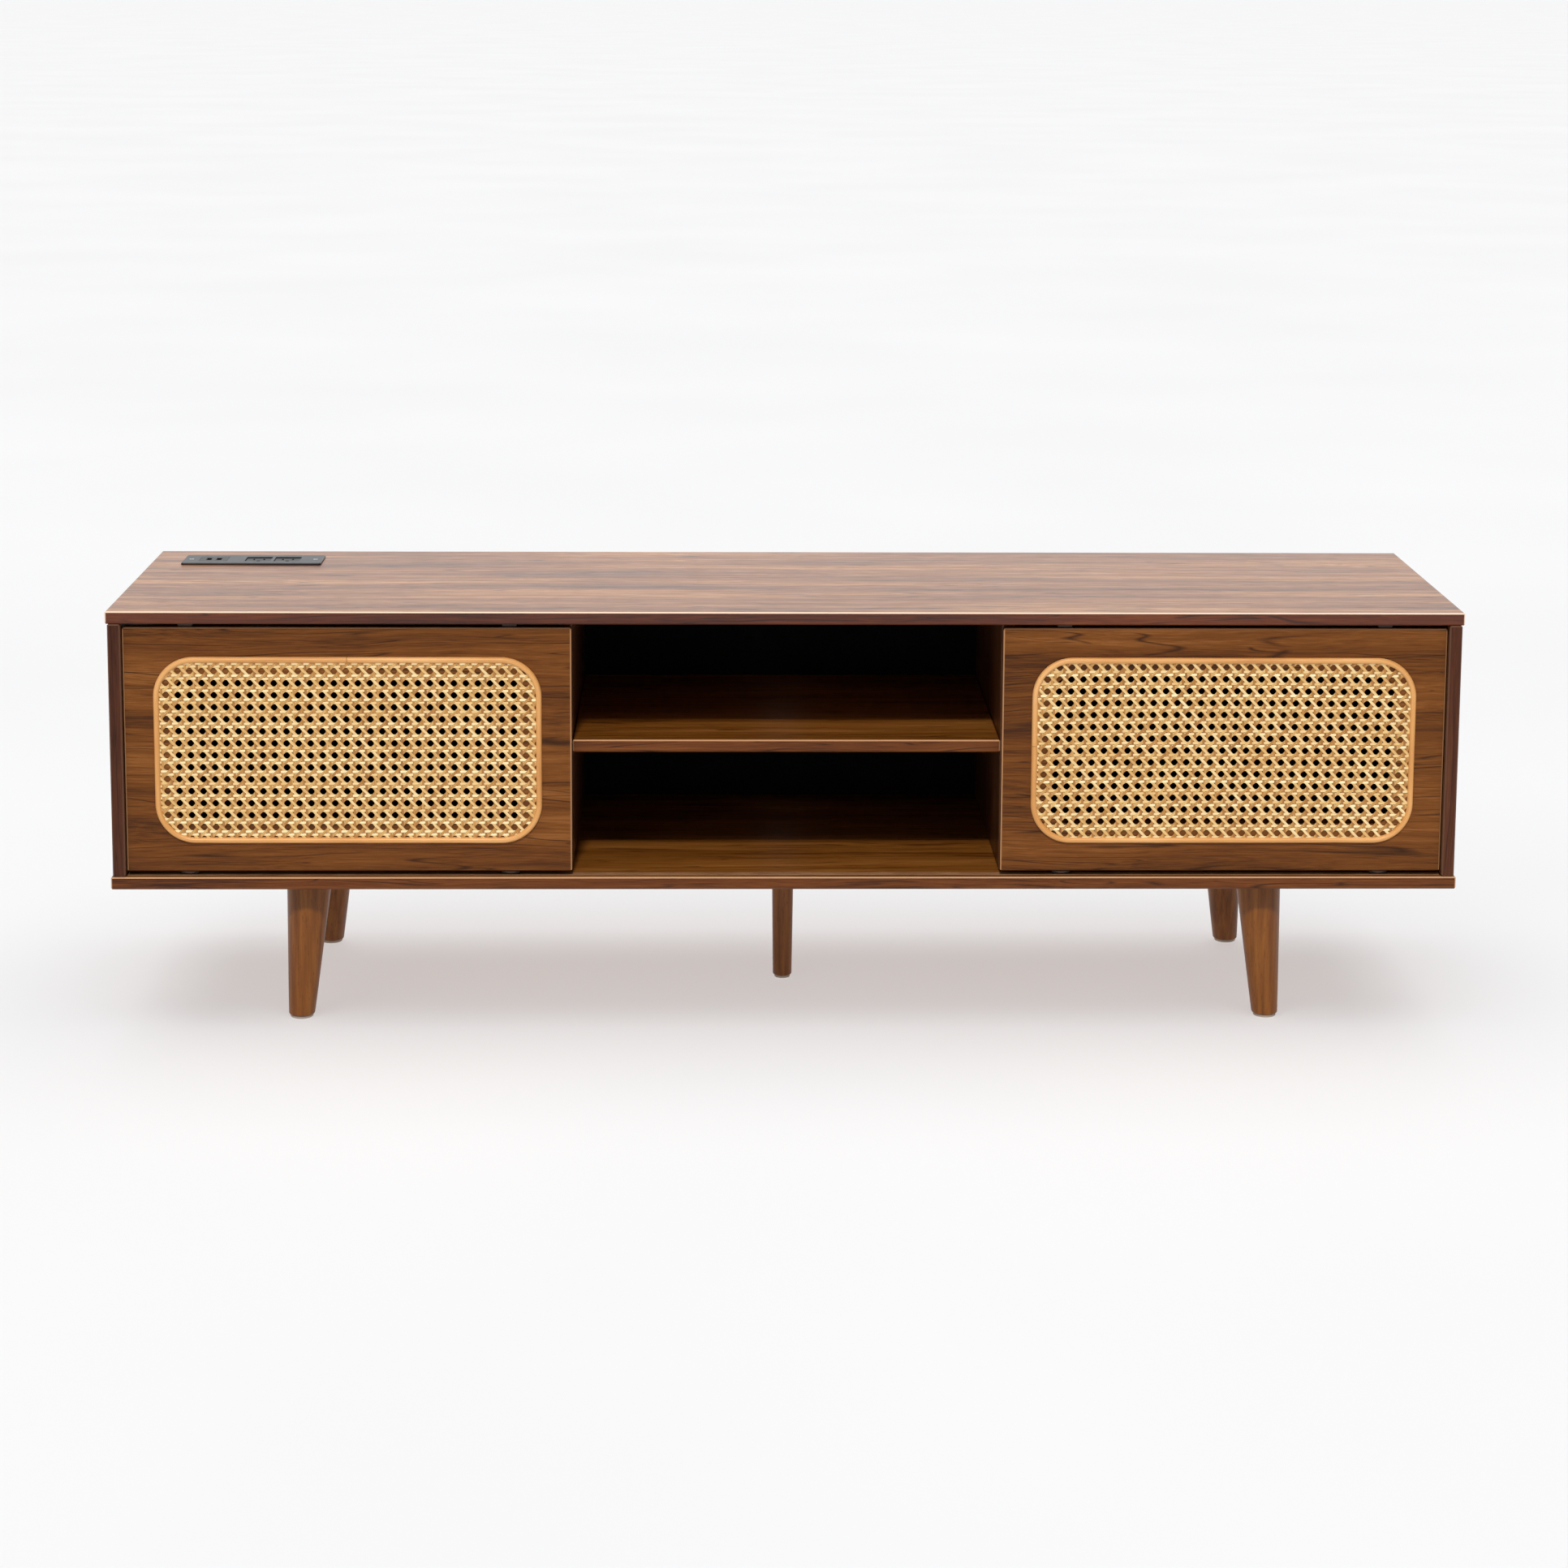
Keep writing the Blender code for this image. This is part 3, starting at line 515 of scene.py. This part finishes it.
def new_piece(name, mesh, finish, body, replaced):
    """A visible piece that rides on a body and stands for some CAD nodes."""
    mesh.materials.append(finish)
    made = bpy.data.objects.new(name, mesh)
    bpy.context.scene.collection.objects.link(made)
    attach(made, body)
    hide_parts(*replaced)


class Shape:
    """Vertices, faces, tones and lengthwise UVs, gathered strand by strand."""

    def __init__(self):
        self.points = []
        self.faces = []
        self.along = []
        self.rows = []
        self.tones = []

    def sweep(self, rings, lengths, widths, tone=0.5):
        """Joins rings of points into a tube with capped ends. Widths run round the section."""
        self.tones += [tone] * (len(rings) * len(rings[0]))
        start = len(self.points)
        count = len(rings[0])
        row = len(self.rows)
        self.rows.append(lengths[-1])
        for ring in rings:
            self.points.extend(ring)
        for i in range(len(rings) - 1):
            here = start + i * count
            there = here + count
            for k in range(count):
                m = (k + 1) % count
                self.faces.append((here + k, here + m, there + m, there + k))
                near, far = lengths[i], lengths[i + 1]
                low, high = widths[k], widths[k + 1]
                self.along.append((row, ((near, low), (near, high), (far, high), (far, low))))
        last = start + (len(rings) - 1) * count
        for face in (range(start + count - 1, start - 1, -1), range(last, last + count)):
            self.faces.append(tuple(face))
            self.along.append((row, tuple((lengths[0], w) for w in widths[:-1])))

    def mesh(self, name):
        """The mesh, with one UV map in metres for grain and one that packs strands in rows."""
        made = bpy.data.meshes.new(name)
        made.from_pydata(self.points, [], self.faces)
        lengthwise = made.uv_layers.new(name="lengthwise")
        packed = made.uv_layers.new(name="OFBake")
        longest = max(self.rows)
        across = max(w for _, corners in self.along for _, w in corners)
        values, rows = [], []
        for row, corners in self.along:
            for length, width in corners:
                values += [length + 0.37 * row, width + 0.011 * row]
                rows += [0.999 * length / longest, (row + 0.96 * width / across) / len(self.rows)]
        lengthwise.data.foreach_set("uv", values)
        packed.data.foreach_set("uv", rows)
        tone = made.attributes.new("strand_tone_and_light", "FLOAT", "POINT")
        tone.data.foreach_set("value", self.tones)
        made.update()
        made.shade_smooth()
        made.set_sharp_from_angle(angle=math.radians(50))
        return made


def turned_mesh(name, profile, steps, lean=(0.0, 0.0)):
    """A closed turned body. The profile runs from the bottom middle to the top middle."""
    shape = bmesh.new()
    rings = []
    height = profile[-1][1] - profile[0][1]
    for radius, z in profile:
        share = (profile[-1][1] - z) / height
        middle = Vector((lean[0] * share, lean[1] * share, z))
        if radius == 0.0:
            rings.append([shape.verts.new(middle)])
            continue
        ring = []
        for i in range(steps):
            angle = math.tau * i / steps
            out = Vector((math.cos(angle), math.sin(angle), 0.0))
            ring.append(shape.verts.new(middle + radius * out))
        rings.append(ring)
    for lower, upper in zip(rings, rings[1:]):
        for i in range(steps):
            j = (i + 1) % steps
            corners = [lower[i % len(lower)], lower[j % len(lower)]]
            corners += [upper[j % len(upper)], upper[i % len(upper)]]
            shape.faces.new(list(dict.fromkeys(corners)))
    mesh = bpy.data.meshes.new(name)
    shape.to_mesh(mesh)
    shape.free()
    mesh.shade_smooth()
    mesh.set_sharp_from_angle(angle=math.radians(40))
    return mesh


# ---------------------------------------------------------------- doors: cane and reed

RING_WIDTH = 7 * MM
RING_HEIGHT = 4.5 * MM
RING_CORNER = 48 * MM
STRAND_WIDTH = 2.85 * MM
DIAGONAL_WIDTH = 3.0 * MM
STRAND_THICKNESS = 0.5 * MM
STRAND_CROWN = 0.48 * MM
PAIR_SPREAD = 0.126  # of the pitch, from the middle of a pair to each strand
INTERLACE = 0.42 * MM
DIAGONAL_LIFT = 0.75 * MM
SHEET_MIDDLE = 1.0 * MM  # from the door's face to the middle of the weave
TUCK = 2.5 * MM  # how far a strand runs in under the reed
SHORTEST_STRAND = 5 * MM
LONGEST_REACH = 0.52  # metres, half the length of line that is searched for a strand
# Painted light: each direction of strand gets its own tone, so the strands across carry a painted
# highlight, the upright ones, lying lowest, a painted shade, and the diagonals fall between.
ACROSS_PAINTED_LIGHT, UPRIGHT_PAINTED_LIGHT, FALLING_PAINTED_LIGHT, RISING_PAINTED_LIGHT = 0.84, 0.30, 0.66, 0.46
TONE_SPREAD = 0.12  # how much strands of one direction differ


def inside_rounded(x, z, half_x, half_z, radius):
    """True if a point lies in a rectangle with round corners."""
    over_x = max(abs(x) - (half_x - radius), 0.0)
    over_z = max(abs(z) - (half_z - radius), 0.0)
    return over_x * over_x + over_z * over_z <= radius * radius


def chord(origin, direction, reach, outline):
    """The stretch of a line that lies inside the outline, or None. A coarse walk finds it, and
    halving steps then sharpen its two ends."""
    steps = 240
    inside = []
    for i in range(steps + 1):
        t = reach * (2 * i / steps - 1)
        x, z = origin[0] + t * direction[0], origin[1] + t * direction[1]
        if inside_rounded(x, z, *outline):
            inside.append(t)
    if len(inside) < 2:
        return None
    ends = []
    for edge, step in ((inside[0], -1), (inside[-1], 1)):
        near, far = edge, edge + step * 2 * reach / steps
        for _ in range(12):
            middle = (near + far) / 2
            x, z = origin[0] + middle * direction[0], origin[1] + middle * direction[1]
            near, far = (middle, far) if inside_rounded(x, z, *outline) else (near, middle)
        ends.append(near)
    return ends


def woven_cane(name, body, node_name, first_hole, pitch, columns, rows, bend, seed):
    """Six-way cane webbing. Holes sit on a grid. Paired strands run between the holes across
    and up, and single strands run between them on both diagonals, over one pair and under
    the next."""
    low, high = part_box(node_name)
    center = (low + high) / 2
    face = high.y
    half_x, half_z = (high.x - low.x) / 2 + TUCK, (high.z - low.z) / 2 + TUCK
    outline = (half_x, half_z, RING_CORNER - RING_WIDTH + TUCK)
    left, top = low.x + first_hole[0] - center.x, high.z - first_hole[1] - center.z
    step_x, step_z = pitch
    shape = Shape()
    shades = random.Random(seed)

    def lay(origin, direction, segment, width, tone, height_at):
        """One strand along a line, in metres from the sheet's middle."""
        length = math.hypot(*direction)
        direction = (direction[0] / length, direction[1] / length)
        ends = chord(origin, direction, LONGEST_REACH, outline)
        if ends is None or ends[1] - ends[0] < SHORTEST_STRAND:
            return
        count = max(2, round((ends[1] - ends[0]) / segment))
        side = (-direction[1], direction[0])
        rings, lengths = [], []
        for i in range(count + 1):
            t = ends[0] + (ends[1] - ends[0]) * i / count
            x, z = origin[0] + t * direction[0], origin[1] + t * direction[1]
            column, row = (x - left) / step_x, (top - z) / step_z
            lift = SHEET_MIDDLE + height_at(column, row)
            shift_x, shift_z = bend(x, z)
            ring = []
            for across, out in (
                (-0.5, -0.5),
                (-0.5, 0.22),
                (0.0, 0.5 + STRAND_CROWN / STRAND_THICKNESS / 2),
                (0.5, 0.22),
                (0.5, -0.5),
            ):
                px = x + shift_x + across * width * side[0]
                pz = z + shift_z + across * width * side[1]
                py = face - lift - out * STRAND_THICKNESS
                ring.append((center.x + px, py, center.z + pz))
            rings.append(ring)
            lengths.append(t - ends[0])
        widths = [0.0, 0.4 * MM, 1.6 * MM, 2.8 * MM, 3.2 * MM, 5.4 * MM]
        shape.sweep(rings, lengths, widths, tone + shades.uniform(-TONE_SPREAD, TONE_SPREAD))

    for row in range(-1, rows):
        for sign in (-1, 1):
            z = top - (row + 0.5 - sign * PAIR_SPREAD) * step_z

            def interlace(column, _, sign=sign):
                return sign * INTERLACE * math.sin(math.tau * (column - 0.5))

            lay((0.0, z), (1.0, 0.0), step_x / 6, STRAND_WIDTH, ACROSS_PAINTED_LIGHT, interlace)
    for column in range(-1, columns):
        for sign in (-1, 1):
            x = left + (column + 0.5 + sign * PAIR_SPREAD) * step_x

            def interlace(_, row, sign=sign):
                return -sign * INTERLACE * math.sin(math.tau * (0.5 - row))

            lay((x, 0.0), (0.0, -1.0), step_z / 6, STRAND_WIDTH, UPRIGHT_PAINTED_LIGHT, interlace)
    for sign in (-1, 1):

        def over_and_under(column, _, sign=sign):
            return -sign * DIAGONAL_LIFT * math.cos(math.tau * column)

        for number in range(-rows - 1, columns + rows + 1):
            origin = (left + (number + 0.5) * step_x, top)
            run = (step_x, -sign * step_z)
            tone = FALLING_PAINTED_LIGHT if sign > 0 else RISING_PAINTED_LIGHT
            lay(origin, run, step_x / 5, DIAGONAL_WIDTH, tone, over_and_under)
    new_piece(name, shape.mesh(name), CANE, body, (node_name,))


def reed_path(half_x, half_z, radius, seam):
    """Points and outward directions round the ring, from the seam on."""
    arc_steps = 18
    spacing = 12 * MM
    points = []
    for quarter, (sign_x, sign_z) in enumerate(((1, 1), (-1, 1), (-1, -1), (1, -1))):
        corner = Vector((sign_x * (half_x - radius), 0.0, sign_z * (half_z - radius)))
        for i in range(arc_steps + 1):
            angle = math.pi / 2 * (quarter + i / arc_steps)
            out = Vector((math.cos(angle), 0.0, math.sin(angle)))
            points.append((corner + radius * out, out))
    filled = []
    for i, (point, out) in enumerate(points):
        follows, out_next = points[(i + 1) % len(points)]
        parts = max(1, round((follows - point).length / spacing))
        for k in range(parts):
            filled.append((point.lerp(follows, k / parts), out.lerp(out_next, k / parts)))
    first = min(range(len(filled)), key=lambda i: (filled[i][0] - Vector(seam)).length)
    return filled[first:] + filled[:first]


def reed_ring(name, body, node_name, seam):
    """A length of half-round reed bent into a ring, with a hairline butt joint at the seam."""
    low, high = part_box(node_name)
    center = (low + high) / 2
    inset = RING_WIDTH / 2
    half_x, half_z = (high.x - low.x) / 2 - inset, (high.z - low.z) / 2 - inset
    path = reed_path(half_x, half_z, RING_CORNER - inset, seam)
    path.append(path[0])
    hairline = 0.25 * MM
    for end, toward in ((0, 1), (-1, -2)):
        point, out = path[end]
        step = (path[toward][0] - point).normalized() * hairline
        path[end] = (point + step, out)
    arc = 12
    rings, lengths = [], []
    travelled = 0.0
    for i, (point, out) in enumerate(path):
        if i:
            travelled += (point - path[i - 1][0]).length
        # The reed thins by a hair here and there along its length.
        swell = 1.0 + 0.02 * math.sin(travelled / 0.041) + 0.015 * math.sin(travelled / 0.013 + 1)
        ring = []
        for k in range(arc + 1):
            angle = math.pi * k / arc
            across = RING_WIDTH / 2 * math.cos(angle) * min(swell, 1.0)
            rise = RING_HEIGHT * math.sin(angle) ** 0.85
            spot = point + out.normalized() * across
            ring.append((center.x + spot.x, high.y - rise, center.z + spot.z))
        rings.append(ring)
        lengths.append(travelled)
    shape = Shape()
    widths = [9 * MM * k / arc for k in range(arc + 1)] + [16 * MM]
    shape.sweep(rings, lengths, widths)
    new_piece(name, shape.mesh(name), REED, body, (node_name,))


def left_bend(x, z):
    """The left sheet is tacked a touch out of square."""
    return 0.002 * z, -0.004 * x + 0.6 * MM * math.sin(9 * x)


def right_bend(x, z):
    """The right sheet leans and bows a little."""
    return 0.017 * z + 0.8 * MM * math.sin(14 * z), 1.2 * MM * math.cos(7 * x) - 0.002 * x


woven_cane(
    "left_door_woven_cane",
    "left_door",
    "left_door_cane",
    first_hole=(7.6 * MM, 9.6 * MM),
    pitch=(14.1 * MM, 14.5 * MM),
    columns=31,
    rows=14,
    bend=left_bend,
    seed=3,
)
woven_cane(
    "right_door_woven_cane",
    "right_door",
    "right_door_cane",
    first_hole=(8.4 * MM, 5.2 * MM),
    pitch=(14.1 * MM, 14.4 * MM),
    columns=31,
    rows=15,
    bend=right_bend,
    seed=8,
)
reed_ring("left_door_reed_ring", "left_door", "left_door_reed", (0.0, 0.0, 0.11))
reed_ring("right_door_reed_ring", "right_door", "right_door_reed", (-0.225, 0.0, 0.01))


# ---------------------------------------------------------------- legs

LEG_NAMES = ("leg_front_left", "leg_front_right", "leg_rear_left", "leg_rear_right", "leg_center")


def leg(name):
    """A turned leg and the plastic glide nailed under it."""
    low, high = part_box(name)
    foot_low, foot_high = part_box(name + "_glide")
    foot = (foot_low + foot_high) / 2
    plate_low, plate_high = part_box(name + "_plate")
    top = (plate_low + plate_high) / 2
    foot_radius = (foot_high.x - foot_low.x) / 2 + 2 * MM
    top_radius = (plate_high.x - plate_low.x) / 2 - 3 * MM
    profile = [(0.0, low.z)]
    rounding = 2.2 * MM
    for i in range(5):
        angle = math.pi / 2 * i / 4
        inward, upward = rounding * (1 - math.sin(angle)), rounding * (1 - math.cos(angle))
        profile.append((foot_radius - inward, low.z + upward))
    for share in (0.2, 0.4, 0.6, 0.8, 0.985):
        z = low.z + (high.z - low.z) * share
        profile.append((foot_radius + (top_radius - foot_radius) * share, z))
    profile.append((top_radius - 0.6 * MM, high.z))
    profile.append((0.0, high.z))
    mesh = turned_mesh(name + "_turned", profile, 64, (foot.x - top.x, foot.y - top.y))
    mesh.transform(Matrix.Translation((top.x, top.y, 0.0)))
    new_piece(name + "_turned", mesh, LEG_WOOD, "cabinet", (name,))

    radius = (foot_high.x - foot_low.x) / 2
    height = foot_high.z
    profile = [
        (0.0, 0.0),
        (radius - 1.0 * MM, 0.0),
        (radius - 0.4 * MM, 0.25 * MM),
        (radius - 0.1 * MM, 0.7 * MM),
        (radius, 1.3 * MM),
        (radius, height),
        (0.0, height),
    ]
    mesh = turned_mesh(name + "_pad", profile, 48)
    mesh.transform(Matrix.Translation((foot.x, foot.y, 0.0)))
    new_piece(
        name + "_pad", mesh, PALE_PLASTIC, "cabinet", (name + "_glide",)
    )


for leg_name in LEG_NAMES:
    leg(leg_name)


# ---------------------------------------------------------------- studio

AIR = 0.14  # strength of the light from all round
BACKDROP = 0.98  # strength of the same air where the lens sees it
FLOOR_WASH = 1.7  # strength of the floor's own light
FLAGGED_OFF = ("middle_shelf", "bottom_panel", "left_divider", "right_divider")
FLOOR_RADIUS = 600.0
LENS_MM, SENSOR_MM, LENS_SHIFT = 73.72, 36.0, -0.22
EYE = (-0.0883, -3.9034, 1.2458)
EYE_YAW, EYE_DROP, EYE_ROLL = -1.275, 8.203, 0.325  # degrees


def studio_floor():
    """A plain pale floor, wide enough to reach past every view."""
    shape = bmesh.new()
    bmesh.ops.create_circle(shape, cap_ends=True, segments=128, radius=FLOOR_RADIUS)
    mesh = bpy.data.meshes.new("studio_floor")
    shape.to_mesh(mesh)
    shape.free()
    made, tree, shader = new_finish("pale_studio_paper", Roughness=0.9, Specular_IOR_Level=0.1)
    place = node(tree, "TexCoord").outputs["Object"]
    cloud = node(tree, "TexNoise", {"Vector": place, "Scale": 0.8, "Detail": 2.0})
    colour = node(
        tree,
        "ValToRGB",
        {"Fac": cloud.outputs["Fac"]},
        stops=((0.3, "#efeff0"), (0.7, "#f2f2f3")),
    )
    tree.links.new(colour.outputs["Color"], shader.inputs["Base Color"])
    mesh.materials.append(made)
    floor = bpy.data.objects.new("studio_floor", mesh)
    floor.location = (0.0, 0.0, -0.0002)
    bpy.context.scene.collection.objects.link(floor)


def lamp(name, kind, place, aim, strength, tint="#ffffff", **settings):
    """A light at a place, turned to shine at a point. It never shows in the picture itself.
    Its strength is in watts, and a sun's in watts on a square metre."""
    data = bpy.data.lights.new(name, kind)
    data.energy = strength
    data.color = srgb(tint)[:3]
    for setting, value in settings.items():
        setattr(data, setting, value)
    made = bpy.data.objects.new(name, data)
    made.location = place
    made.rotation_mode = "QUATERNION"
    made.rotation_quaternion = (Vector(aim) - Vector(place)).to_track_quat("-Z", "Y")
    made.visible_camera = False
    bpy.context.scene.collection.objects.link(made)
    return made


def light_only(made, name, lit, shading=None):
    """Lets a lamp reach only some objects, and lets only some of them shade it."""
    receivers = bpy.data.collections.new(name)
    for reached in lit:
        receivers.objects.link(reached)
    made.light_linking.receiver_collection = receivers
    if shading is not None:
        blockers = bpy.data.collections.new(name + "_shading")
        for shades_it in shading:
            blockers.objects.link(shades_it)
        made.light_linking.blocker_collection = blockers


def studio_light():
    """A far key light high in front, soft fills, an overhead bank and a bright rear card. The
    floor has a wash of its own, so it stays pale and even like a lit table."""
    middle = (0.0, 0.0, 0.3)
    solids = [made for made in bpy.context.scene.objects if made.type == "MESH"]
    floor = [made for made in solids if made.name == "studio_floor"]
    cabinet = [made for made in solids if made.name != "studio_floor"]
    key = lamp("key", "SUN", (-0.2, -3.0, 3.6), middle, 2.1, "#fff9f0", angle=math.radians(5))
    light_only(key, "lit_by_key", cabinet)
    wash = lamp("floor_wash", "SUN", (0.0, -0.4, 4.0), middle, FLOOR_WASH, angle=math.radians(20))
    light_only(wash, "lit_by_wash", floor, floor)
    lamp("fill_left", "SUN", (-2.6, -3.0, 2.4), middle, 0.22, angle=math.radians(50))
    lamp("fill_right", "SUN", (2.6, -3.0, 2.4), middle, 0.10, angle=math.radians(50))
    lamp("overhead", "SUN", (0.0, 0.3, 4.0), middle, 1.2, angle=math.radians(70))
    card = lamp("rear_card", "AREA", (0.0, 4.4, 1.5), (0.0, 0.0, 0.75), 68)
    card.data.shape = "RECTANGLE"
    card.data.size, card.data.size_y = 7.0, 2.2
    # The card is flagged off the inside of the bays.
    light_only(card, "lit_by_card", [made for made in cabinet if made.name not in FLAGGED_OFF])


def studio_air():
    """Dim air lights the piece. The backdrop that the lens sees is bright."""
    world = bpy.data.worlds.new("studio_air")
    world.use_nodes = True
    tree = world.node_tree
    backdrop = tree.nodes["Background"]
    backdrop.inputs["Color"].default_value = srgb("#fbfbfb")
    seen = node(tree, "LightPath").outputs["Is Camera Ray"]
    brightness = node(tree, "MapRange", {"Value": seen, "To Min": AIR, "To Max": BACKDROP})
    tree.links.new(brightness.outputs[0], backdrop.inputs["Strength"])
    bpy.context.scene.world = world
    bpy.context.scene.view_settings.view_transform = "Standard"


def studio_camera():
    """Stands a little left of the middle and looks slightly down on the top."""
    data = bpy.data.cameras.new("studio_camera")
    data.lens, data.sensor_width, data.shift_y = LENS_MM, SENSOR_MM, LENS_SHIFT
    data.clip_end = 2000.0
    made = bpy.data.objects.new("studio_camera", data)
    turn = Matrix.Rotation(math.radians(EYE_YAW), 4, "Z")
    tilt = Matrix.Rotation(math.radians(90.0 - EYE_DROP), 4, "X")
    roll = Matrix.Rotation(math.radians(EYE_ROLL), 4, "Z")
    made.matrix_world = Matrix.Translation(EYE) @ turn @ tilt @ roll
    bpy.context.scene.collection.objects.link(made)
    bpy.context.scene.camera = made


studio_floor()
studio_light()
studio_air()
studio_camera()

bpy.context.view_layer.update()
